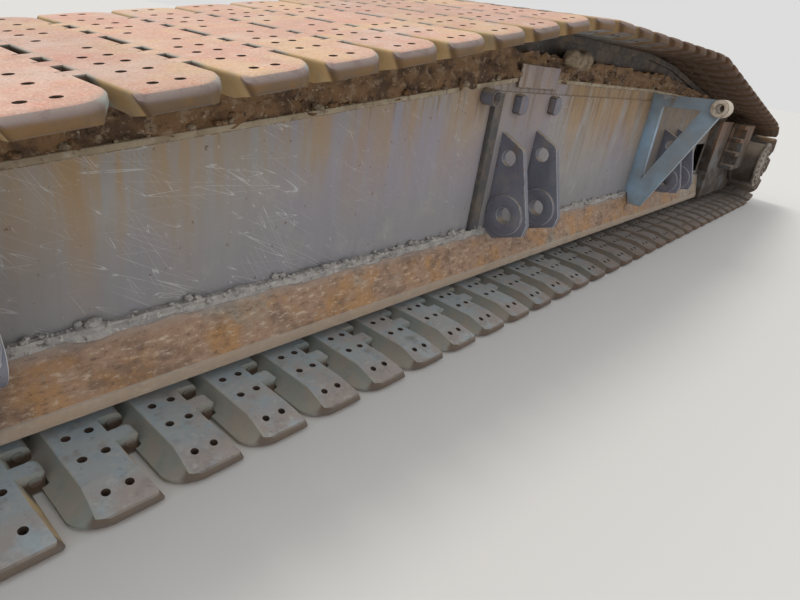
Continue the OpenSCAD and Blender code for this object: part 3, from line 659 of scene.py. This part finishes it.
# Carrier forks: pairs of thick steel plates with two bores, welded to the inner wall and
# tied by cross plates, where the car body is pinned. They wear the girder's paint.
for node in ("near_carrier_fork", "far_carrier_fork", "carrier_ties"):
    eased_copy(node, "side_frame", girder_paint, 0.005)

# Track: cast steel shoes, each with six hinge lugs that reach into the next one and take
# a short pin each. One shoe is modelled and copied along the hinge line.
shoe_pitch = 0.250
shoe_half_l = 0.112
shoe_half_w = 0.626
tread_z, inner_z = -0.045, 0.030
mid_z = (tread_z + inner_z) / 2
hinge_x = 0.1255
slope_y, slope_drop = 0.500, 0.030
hinge_lugs = ((0.078, 0.136), (0.201, 0.260), (0.333, 0.384))
lug_tip = hinge_x + 0.031
bolt_rows = (0.551, 0.409, 0.299, 0.206)
bolt_columns = (-0.0168, 0.0455)


def stored(tree, name, output="Fac"):
    """What the mesh attribute of this name holds."""
    return add_node(tree, "ShaderNodeAttribute", attribute_name=name).outputs[output]


shoe_steel, tree, shader = new_finish("shoe_steel")
tone, soil_and_shade, faces = (stored(tree, "shoe_" + name) for name in ("tone", "soil_and_shade", "facing"))
own = axes(tree, stored(tree, "shoe_place", "Vector"))
from_middle = maths(tree, "ABSOLUTE", own["Y"])
sand = cloud(tree, object_place(tree), 150, 4, 0.8)
inside = patched(
    tree, (0.330, 0.385, 0.405),
    ((0.345, 0.320, 0.300), 5, 0.46, 0.64),
    ((0.310, 0.375, 0.410), 6, 0.50, 0.66, 2, 0.8),
)
pad_end = placed(tree, blotches, Scale=8, Low=0.36, High=0.56, Shift=17)
pad_end = times(tree, pad_end, between(tree, from_middle, 0.45, 0.59))
inside = over(tree, inside, (0.300, 0.240, 0.210), pad_end, 0.85)
inside = patched(
    tree, inside,
    ((0.46, 0.44, 0.41), 34, 0.54, 0.68, 5, 0.6),
    ((0.19, 0.17, 0.15), 17, 0.54, 0.72, 21, 0.6),
    ((0.13, 0.115, 0.10), 48, 0.62, 0.72, 15, 0.6),
)
hollow = patched(
    tree, (0.345, 0.325, 0.275),
    ((0.285, 0.315, 0.290), 6, 0.42, 0.60, 8),
    ((0.36, 0.32, 0.27), 11, 0.50, 0.66, 1, 0.7),
)
warm_flank = patched(
    tree, (0.54, 0.35, 0.165),
    ((0.56, 0.42, 0.22), 7, 0.45, 0.65, 8),
    ((0.40, 0.300, 0.195), 9, 0.5, 0.66, 1, 0.7),
)
past_middle = between(tree, own["X"], 0.0, 0.05)
on_flank = times(tree, past_middle, between(tree, from_middle, 0.40, 0.46))
flank_colour = over(tree, hollow, warm_flank, on_flank)
tread = patched(
    tree, (0.615, 0.320, 0.222),
    ((0.650, 0.400, 0.215), 2.6, 0.46, 0.60),
    ((0.63, 0.425, 0.335), 3.4, 0.50, 0.66, 4, 0.8),
    ((0.60, 0.275, 0.195), 4.2, 0.50, 0.64, 9, 0.75),
    ((0.44, 0.25, 0.175), 11, 0.50, 0.74, 6, 0.6, 8),
    ((0.74, 0.53, 0.43), 14, 0.52, 0.74, 26, 0.6, 8),
)
tread = over(tree, tread, (0.80, 0.60, 0.47), between(tree, sand, 0.53, 0.62), 0.6)
tread = over(tree, tread, (0.33, 0.18, 0.125), between(tree, sand, 0.46, 0.36), 0.6)
end_face = patched(tree, (0.185, 0.100, 0.036), ((0.150, 0.092, 0.048), 14, 0.42, 0.62))
# Painted highlight: a lighter lilac grey band across the end face next to the tread's rounding.
end_face = over(tree, end_face, (0.205, 0.148, 0.130), between(tree, own["Z"], -0.018, -0.031))
end_face = over(tree, end_face, (0.60, 0.37, 0.27), between(tree, own["Z"], -0.038, -0.0460))
above_ground = axes(tree, object_place(tree))["Z"]
end_face = over(tree, end_face, (0.150, 0.120, 0.098), between(tree, above_ground, 0.20, 0.12), 0.8)
# Painted shade: the flank's upper part, deep in the slot between shoes, is dark brown.
slot_shade = times(
    tree, between(tree, from_middle, 0.47, 0.38), between(tree, own["Z"], 0.012, -0.010),
    past_middle, between(tree, own["Z"], -0.044, -0.038),
)
side_colour = over(tree, flank_colour, (0.105, 0.066, 0.042), slot_shade)
side_colour = over(tree, side_colour, end_face, between(tree, from_middle, 0.585, 0.606))
scooped = over(tree, inside, hollow, between(tree, own["X"], -0.052, -0.064))
side_colour = over(tree, side_colour, scooped, between(tree, faces, 0.70, 0.95))
all_over = over(tree, side_colour, tread, between(tree, faces, -0.78, -0.995))
# Shoes towards the drive end turn dark brown: caked soil, and painted shade.
soil_and_shade_mask = times(tree, soil_and_shade, between(tree, sand, 0.88, 0.64))
all_over = over(tree, all_over, (0.100, 0.048, 0.020), soil_and_shade_mask, 0.95)
all_over = over(tree, all_over, (0.0, 0.0, 0.0), tone, 0.16)
dirt = placed(tree, settled_dust, Cover=0.50, Scale=20)
dirt = times(tree, dirt, between(tree, soil_and_shade, 1.0, 0.0))
all_over = over(tree, all_over, (0.48, 0.41, 0.34), dirt, 0.20)
surface(
    tree, shader, all_over, rough=(0.55, 0.86), bump=(0.6, 0.003), Coarse=30, Fine=260, Share=0.55
)
# Dirt and painted shade: the bolt holes' walls are near black.
hole_dirt_and_shade, tree, shader = new_finish("hole_dirt_and_shade")
colour = patched(tree, (0.075, 0.044, 0.028), ((0.045, 0.028, 0.018), 30, 0.4, 0.6))
surface(tree, shader, colour, rough=(0.85, 0.95), bump=(0.4, 0.002), Coarse=60, Fine=300)


def add_block(x0, x1, y0, y1, z0, z1):
    """A box between two corners, on its own selected."""
    clear_selection()
    bpy.ops.mesh.primitive_cube_add(
        size=1, scale=(x1 - x0, y1 - y0, z1 - z0),
        location=((x0 + x1) / 2, (y0 + y1) / 2, (z0 + z1) / 2),
    )
    apply_place()
    return bpy.context.object


def bevel_where(test, offset, segments):
    """Rounds the edges whose middle and direction pass the test."""
    set_mode("EDIT")
    select_where(test, "EDGE")
    bpy.ops.mesh.bevel(offset=offset, segments=segments, affect="EDGES", clamp_overlap=False)
    set_mode("OBJECT")


def cut_off(point, normal):
    """Cuts away what lies past a plane and closes the cut."""
    set_mode("EDIT")
    bpy.ops.mesh.select_all(action="SELECT")
    bpy.ops.mesh.bisect(plane_co=point, plane_no=normal, clear_outer=True, use_fill=True)
    set_mode("OBJECT")


def combine(piece, tools, operation):
    """Boolean of the piece with other solids, which are then deleted."""
    for tool in tools:
        choose(piece)
        apply_modifier("BOOLEAN", operation=operation, object=tool, solver="EXACT")
        bpy.data.objects.remove(tool)


def along_y(direction):
    return abs(direction.y) > 0.9


def tangent_cuts(centre, radius, start, end, steps):
    """Planes round a bar between two outward directions, which leave its rounding."""
    start, end = Vector(start).normalized(), Vector(end).normalized()
    for step in range(1, steps + 1):
        normal = start.slerp(end, step / (steps + 1))
        cut_off(Vector(centre) + radius * normal, normal)


# The body is a blank cut by planes: wide corners on one side, a soap-like rounding of the
# tread at both ends, a leaning flank, and an inner face that slopes down at the ends
shoe = add_block(-shoe_half_l, shoe_half_l, -shoe_half_w, shoe_half_w, tread_z, inner_z)
corner_r, corner_steps, least_round, more_round = 0.100, 8, 0.005, 0.027
end_edge_r, end_edge_z = 0.014, -0.0111
flank_edge_r, foot_edge_r = 0.018, 0.007
foot_corner_l, foot_corner_w, foot_corner_h, foot_corner_r = 0.024, 0.026, 0.022, 0.023
brow_x, brow_r = 0.0757, 0.010
flank = Vector((0.064, 0, 0.030)).normalized()
flank_foot = Vector((shoe_half_l, 0, -0.034))
slope = Vector((0, slope_drop, shoe_half_w - slope_y)).normalized()
tread_down = (0, 0, -1)
for side in (-1, 1):
    for i in range(0 if side < 0 else 1, corner_steps + 1):
        turn = i * math.pi / (2 * corner_steps)
        outward = Vector((-math.cos(turn), side * math.sin(turn), 0))
        rounding = least_round + more_round * math.sin(turn) ** 1.5
        centre = Vector((
            corner_r - shoe_half_l, side * (shoe_half_w - corner_r), tread_z + rounding
        ))
        centre += outward * (corner_r - rounding)
        if 0 < i < corner_steps:
            cut_off(centre + rounding * outward, outward)
        tangent_cuts(centre, rounding, outward, tread_down, 1 if i < 3 else 3)
    slant = Vector((0, side * slope.y, slope.z))
    cut_off((0, side * slope_y, inner_z), slant)
    end_edge = (0, side * (shoe_half_w - end_edge_r), end_edge_z)
    tangent_cuts(end_edge, end_edge_r, (0, side, 0), slant, 2)
    corner = flank_foot - flank_edge_r * flank
    corner += Vector((0, side * (shoe_half_w - flank_edge_r), 0))
    tangent_cuts(corner, flank_edge_r, flank, (0, side, 0), 2)
    corner = (
        shoe_half_l - foot_corner_l, side * (shoe_half_w - foot_corner_w), tread_z + foot_corner_h
    )
    tangent_cuts(corner, foot_corner_r, (1, side, 0), tread_down, 1)
cut_off(flank_foot, flank)
foot_edge = (shoe_half_l - foot_edge_r, 0, tread_z + foot_edge_r)
tangent_cuts(foot_edge, foot_edge_r, (1, 0, 0), tread_down, 2)
tangent_cuts((brow_x, 0, inner_z - brow_r), brow_r, flank, (0, 0, 1), 2)
scoop_r, scoop_middle, scoop_edge_r = 0.073, (-0.1324, 0, 0.0391), 0.010
clear_selection()
bpy.ops.mesh.primitive_cylinder_add(
    vertices=72, radius=scoop_r, depth=1.6, location=scoop_middle, rotation=(math.pi / 2, 0, 0)
)
apply_place()
combine(shoe, [bpy.context.object], "DIFFERENCE")
choose(shoe)
clean(doubles=0.0002, flat_angle=0.6)
bevel_where(
    lambda c, d: along_y(d) and -0.07 < c.x < 0 and c.z > inner_z - 0.001, scoop_edge_r, 3
)

# The bolt holes widen a little at both faces; their walls are painted dark, for the dirt in them
# and as painted shade inside
hole_r, hole_short, hole_past = 0.0120, 0.006, 0.004
flare_depth, flare, middle_hole_y = 0.0025, 1.08, 0.085
clear_selection()
bpy.ops.mesh.primitive_cylinder_add(
    vertices=14, radius=hole_r, depth=inner_z - tread_z - hole_short, location=(0, 0, mid_z)
)
apply_place()
hole = bpy.context.object
set_mode("EDIT")
for end in (-1, 1):
    select_where(lambda c, n: n.z * end > 0.9)
    bpy.ops.mesh.extrude_region_move(TRANSFORM_OT_translate={"value": (0, 0, end * flare_depth)})
    bpy.ops.transform.resize(value=(flare, flare, 1))
    bpy.ops.mesh.extrude_region_move(TRANSFORM_OT_translate={"value": (0, 0, end * hole_past)})
set_mode("OBJECT")
spots = [(x, side * y) for x in bolt_columns for y in bolt_rows for side in (-1, 1)]
spots += [(bolt_columns[0], -middle_hole_y), (bolt_columns[1], middle_hole_y)]
holes = join_all([copied(hole, Matrix.Translation((x, y, 0))) for x, y in spots], "holes")
bpy.data.objects.remove(hole)
for piece in (shoe, holes):
    piece.data.materials.append(shoe_steel)
    piece.data.materials.append(hole_dirt_and_shade)
holes.data.polygons.foreach_set("material_index", [1] * len(holes.data.polygons))
combine(shoe, [holes], "DIFFERENCE")

# Sockets for the next shoe's lugs, then this shoe's own lugs and the pins in them
socket_x0, socket_x1, socket_gap, socket_edge_r = -0.190, -0.0937, 0.0006, 0.040
lug_x0, lug_sink, lug_edge_r, lug_side_r = 0.060, 0.001, 0.030, 0.022
pin_r, pin_rim, pin_past, pin_rim_past = 0.016, 0.004, 0.007, 0.003
sockets, arms, pins = [], [], []
for near, far in hinge_lugs:
    for side in (-1, 1):
        y0, y1 = sorted((side * near, side * far))
        sockets.append(add_block(
            socket_x0, socket_x1, y0 - socket_gap, y1 + socket_gap, tread_z - 0.01, inner_z + 0.01
        ))
        bevel_where(lambda c, d: along_y(d) and c.x > -0.1 and c.z > 0, socket_edge_r, 6)
        arms.append(add_block(lug_x0, lug_tip, y0, y1, tread_z + lug_sink, inner_z - lug_sink))
        bevel_where(lambda c, d: along_y(d) and c.x > 0.15 and c.z > 0, lug_edge_r, 6)
        if near == hinge_lugs[-1][0]:
            bevel_where(
                lambda c, d: abs(d.z) > 0.9 and c.x > 0.15 and c.y * side > far - 0.001,
                lug_side_r, 4,
            )
        clear_selection()
        pin_middle = (hinge_x, (y0 + y1) / 2, 0)
        pin_length, rim_length = far - near + pin_past, far - near + pin_rim_past
        bpy.ops.mesh.primitive_cylinder_add(
            vertices=16, radius=pin_r, depth=pin_length, rotation=(math.pi / 2, 0, 0),
            location=pin_middle,
        )
        apply_place()
        set_mode("EDIT")
        select_where(lambda c, n: along_y(n))
        bpy.ops.mesh.inset(thickness=pin_rim)
        select_where(lambda c, n: along_y(n) and abs(c.x - hinge_x) < 0.001)
        bpy.ops.transform.resize(
            value=(1, rim_length / pin_length, 1), center_override=pin_middle
        )
        set_mode("OBJECT")
        bpy.context.object.data.materials.append(shoe_steel)
        pins.append(bpy.context.object)
combine(shoe, [join_all(sockets, "sockets")], "DIFFERENCE")
combine(shoe, [join_all(arms, "arms")], "UNION")
shoe = join_all([shoe, *pins], "shoe")
set_mode("EDIT")
bpy.ops.mesh.select_all(action="SELECT")
bpy.ops.mesh.remove_doubles(threshold=0.00005)
bpy.ops.mesh.normals_make_consistent(inside=False)
set_mode("OBJECT")
bpy.ops.object.shade_smooth_by_angle(angle=math.radians(34))

# The shoe's own place stays with each copy, so its finish follows the casting
home = shoe.data.attributes.new("shoe_place", "FLOAT_VECTOR", "POINT")
home.data.foreach_set("vector", [v for vert in shoe.data.vertices for v in vert.co])
facing = shoe.data.attributes.new("shoe_facing", "FLOAT", "FACE")
facing.data.foreach_set("value", [face.normal.z for face in shoe.data.polygons])

# The hinge line: a loop over the idler, the tumbler and the two bends of the crest
rings = (
    (-4.389, 0.419, 0.374), (4.318, 0.490, 0.445), (1.100, -0.072, 1.500), (-0.800, -0.072, 1.500),
)


def heading(i):
    """Direction of the straight run that leaves ring i."""
    (ax, az, ar), (bx, bz, br) = rings[i], rings[(i + 1) % 4]
    run = Vector((bx - ax, bz - az))
    return (math.atan2(run.y, run.x) + math.asin((ar - br) / run.length)) % math.tau


def on_ring(i, h):
    """Where ring i is touched by a line that goes in direction h."""
    x, z, r = rings[i % 4]
    return Vector((x + r * math.sin(h), z - r * math.cos(h)))


heads = [heading(i) for i in range(4)]
starts = [on_ring(i, heads[i]) for i in range(4)]
runs = [(on_ring(i + 1, heads[i]) - starts[i]).length for i in range(4)]
bends = [rings[(i + 1) % 4][2] * ((heads[(i + 1) % 4] - heads[i]) % math.tau) for i in range(4)]
loop_length = sum(runs) + sum(bends)
near_sag = 0.012
shoe_count = round(loop_length / shoe_pitch)


def station(s):
    """Point of the hinge line at distance s, and which straight or bend it is on."""
    s %= loop_length
    for i in range(4):
        if s <= runs[i]:
            share = s / runs[i]
            hang = near_sag * 4 * share * (1 - share) if i == 3 else 0.0
            gone = Vector((s * math.cos(heads[i]), s * math.sin(heads[i]) - hang))
            return starts[i] + gone, 2 * i
        s -= runs[i]
        if s <= bends[i] or i == 3:
            return on_ring(i + 1, heads[i] + s / rings[(i + 1) % 4][2]), 2 * i + 1
        s -= bends[i]


dice = random.Random(11)
section_names = {0: "lower_run_shoes", 1: "drive_wrap_shoes", 7: "idler_wrap_shoes"}
sections = {
    "lower_run_shoes": [], "drive_wrap_shoes": [], "upper_run_shoes": [], "idler_wrap_shoes": [],
}
step = loop_length / shoe_count
first_hinge = 0.72
# Where along the unit the shoes begin to darken, over what length, and up to what share: soil and
# painted shade together.
upper_soil_and_shade, lower_soil_and_shade, half_height = (-1.2, 1.5, 1.0), (-1.6, 2.4, 0.7), 0.7
for i in range(shoe_count):
    (a, _), (b, _) = station((i + first_hinge) * step), station((i + first_hinge + 1) * step)
    _, where = station((i + first_hinge + 0.5) * step)
    middle = (a + b) / 2
    angle = math.atan2(b.y - a.y, b.x - a.x)
    turned = Matrix.Rotation(-angle, 4, "Y")
    copy = copied(shoe, Matrix.Translation((middle.x, 0, middle.y)) @ turned)
    shade = dice.random()
    darkening_x, darkening_length, most_darkening = upper_soil_and_shade if middle.y > half_height else lower_soil_and_shade
    darkened = most_darkening * min(1.0, max(0.0, (middle.x - darkening_x) / darkening_length))
    for name, value in (("shoe_tone", shade), ("shoe_soil_and_shade", darkened)):
        field = copy.data.attributes.new(name, "FLOAT", "POINT")
        field.data.foreach_set("value", [value] * len(copy.data.vertices))
    sections[section_names.get(where, "upper_run_shoes")].append(copy)
bpy.data.objects.remove(shoe)
for name, copies in sections.items():
    run_of_shoes = join_all(copies, name)
    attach(run_of_shoes, "side_frame")
    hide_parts("track")

# Dried mud: a dark crust packed between the roof's edge and the upper run, a pale line of
# crumbs on the skirt's top edge, and loose lumps. It is what the track carried up.
mud_crust, tree, shader = new_finish("mud_crust")
# The near black specks are painted shade in the pits between the crumbs.
colour = patched(
    tree, (0.205, 0.112, 0.050),
    ((0.088, 0.048, 0.026), 11, 0.42, 0.60),
    ((0.29, 0.20, 0.125), 27, 0.52, 0.64, 3, 0.8),
    ((0.46, 0.36, 0.26), 52, 0.60, 0.70, 8, 0.75),
    ((0.030, 0.018, 0.012), 48, 0.58, 0.68, 14, 0.8),
)
surface(
    tree, shader, colour, rough=(0.85, 0.97), bump=(1.0, 0.008), Coarse=45, Fine=180, Share=0.45
)
mud_pale, tree, shader = new_finish("mud_pale")
colour = patched(
    tree, (0.42, 0.385, 0.35),
    ((0.31, 0.29, 0.275), 14, 0.42, 0.60),
    ((0.58, 0.54, 0.48), 60, 0.56, 0.66, 5, 0.7),
    ((0.09, 0.065, 0.05), 36, 0.58, 0.68, 9, 0.7),
)
surface(
    tree, shader, colour, rough=(0.85, 0.97), bump=(1.0, 0.006), Coarse=50, Fine=200, Share=0.45
)
lumpy = bpy.data.textures.new("lumpy", "CLOUDS")
lumpy.noise_scale = 0.055
lumpy.noise_depth = 4
crumbly = bpy.data.textures.new("crumbly", "CLOUDS")
crumbly.noise_scale = 0.017
crumbly.noise_depth = 3


def on_line(points, x):
    """Height of a broken line at x."""
    for (ax, az), (bx, bz) in zip(points, points[1:]):
        if x <= bx:
            break
    return az + (bz - az) * (x - ax) / (bx - ax)


def roughen(texture, strength):
    """Moves the active piece's skin in and out by a texture."""
    apply_modifier(
        "DISPLACE", texture=texture, texture_coords="GLOBAL", strength=strength, mid_level=0.5
    )


cuts_across, mud_smooth = 7, math.radians(40)


def packed_mud(name, paint, x0, x1, along, section, lumps, crumbs):
    """A closed bar of mud whose four corners follow section(x), roughened by two noises."""
    piece = add_block(x0, x1, 0, 1, 0, 1)
    set_mode("EDIT")
    select_where(lambda c, d: abs(d.x) > 0.9, "EDGE")
    bpy.ops.mesh.subdivide(number_cuts=along)
    select_where(lambda c, d: abs(d.x) < 0.1, "EDGE")
    bpy.ops.mesh.subdivide(number_cuts=cuts_across)
    set_mode("OBJECT")
    for vert in piece.data.vertices:
        y0, y1, z0, z1 = section(vert.co.x)
        vert.co = (vert.co.x, y0 + (y1 - y0) * vert.co.y, z0 + (z1 - z0) * vert.co.z)
    roughen(lumpy, lumps)
    roughen(crumbly, crumbs)
    piece.name = name
    piece.data.materials.append(paint)
    bpy.ops.object.shade_smooth_by_angle(angle=mud_smooth)
    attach(piece, "side_frame")


upper_start, upper_steps, pads_below = runs[0] + bends[0], 160, 0.034
upper_length = loop_length - runs[0] - bends[0] - bends[3] * 0.5
hinges = [station(upper_start + k * upper_length / upper_steps)[0] for k in range(upper_steps + 1)]
pad_line = sorted((hinge.x, hinge.y - pads_below) for hinge in hinges)
crust_y0, crust_y1, crust_sink, crust_top = -0.232, -0.186, 0.004, 0.012
least_fill, least_from, fill_growth = 0.42, -0.95, 1.6


def crust_section(x):
    """The crust fills the gap under the shoes towards the idler, and less of it further on."""
    roof_z = on_line(roof_line, x)
    fill = min(1.0, max(least_fill, least_fill + (least_from - x) * fill_growth))
    top = roof_z + (on_line(pad_line, x) - roof_z) * fill
    return crust_y0, crust_y1, roof_z - crust_sink, top + crust_top


packed_mud(
    "roof_mud", mud_crust, x0=-3.640, x1=2.550, along=520, section=crust_section,
    lumps=0.080, crumbs=0.050,
)
packed_mud(
    "skirt_crumbs", mud_pale, x0=-3.560, x1=1.060, along=420,
    section=lambda x: (-0.256, -0.228, 0.352, 0.386), lumps=0.034, crumbs=0.020,
)


def loose_lumps(name, paint, count, smallest, largest, place):
    """Small broken lumps of mud, one shape copied, turned and scaled at random."""
    clear_selection()
    bpy.ops.mesh.primitive_ico_sphere_add(subdivisions=1, radius=1)
    model = bpy.context.object
    set_mode("EDIT")
    bpy.ops.transform.vertex_random(offset=0.35, seed=4)
    set_mode("OBJECT")
    copies = []
    for _ in range(count):
        size = smallest + (largest - smallest) * dice.random() ** 3
        angle = dice.uniform(0, 6.28)
        turned = Matrix.Rotation(angle, 4, Vector((dice.random(), dice.random(), 1)).normalized())
        wide, flat = dice.uniform(0.8, 1.5), dice.uniform(0.5, 0.9)
        scaled = Matrix.Diagonal((size * wide, size, size * flat, 1))
        copies.append(copied(model, Matrix.Translation(place(size)) @ turned @ scaled))
    bpy.data.objects.remove(model)
    piece = join_all(copies, name)
    piece.data.materials.append(paint)
    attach(piece, "side_frame")


crust_front_y, crust_skin = -0.228, 0.02


def on_roof(size):
    """A place on the roof's edge in front of the crust, or in the crust's skin."""
    x = dice.uniform(-3.4, 2.3)
    y = dice.uniform(-0.238, -0.20)
    roof_z = on_line(roof_line, x)
    crust_h = crust_section(x)[3] - roof_z - crust_skin
    rise = 0.0 if y < crust_front_y else dice.random() * crust_h
    return x, y, roof_z + size * 0.5 + rise


def on_skirt(size):
    """A place on the skirt's top edge."""
    x = dice.uniform(-3.5, 1.0)
    return x, dice.uniform(-0.262, -0.238), dice.uniform(0.376, 0.398)


loose_lumps("roof_lumps", mud_crust, 460, 0.006, 0.022, on_roof)
lump_paint, tree, shader = new_finish("lump_paint")
colour = patched(tree, (0.285, 0.220, 0.145), ((0.17, 0.12, 0.075), 20, 0.42, 0.60))
surface(
    tree, shader, colour, rough=(0.85, 0.97), bump=(1.0, 0.005), Coarse=50, Fine=200, Share=0.45
)
loose_lumps("roof_crumbs", lump_paint, 300, 0.004, 0.022, on_roof)
clear_selection()
clod_place, clod_size, clod_lumps = (-0.35, -0.242, 1.280), (0.165, 0.050, 0.052), 0.045
bpy.ops.mesh.primitive_ico_sphere_add(
    subdivisions=4, radius=1, location=clod_place, scale=clod_size
)
apply_place()
roughen(lumpy, clod_lumps)
pale_clod = bpy.context.object
pale_clod.name = "pale_clod"
pale_clod.data.materials.append(lump_paint)
bpy.ops.object.shade_smooth_by_angle(angle=mud_smooth)
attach(pale_clod, "side_frame")
loose_lumps("skirt_lumps", mud_pale, 420, 0.004, 0.020, on_skirt)
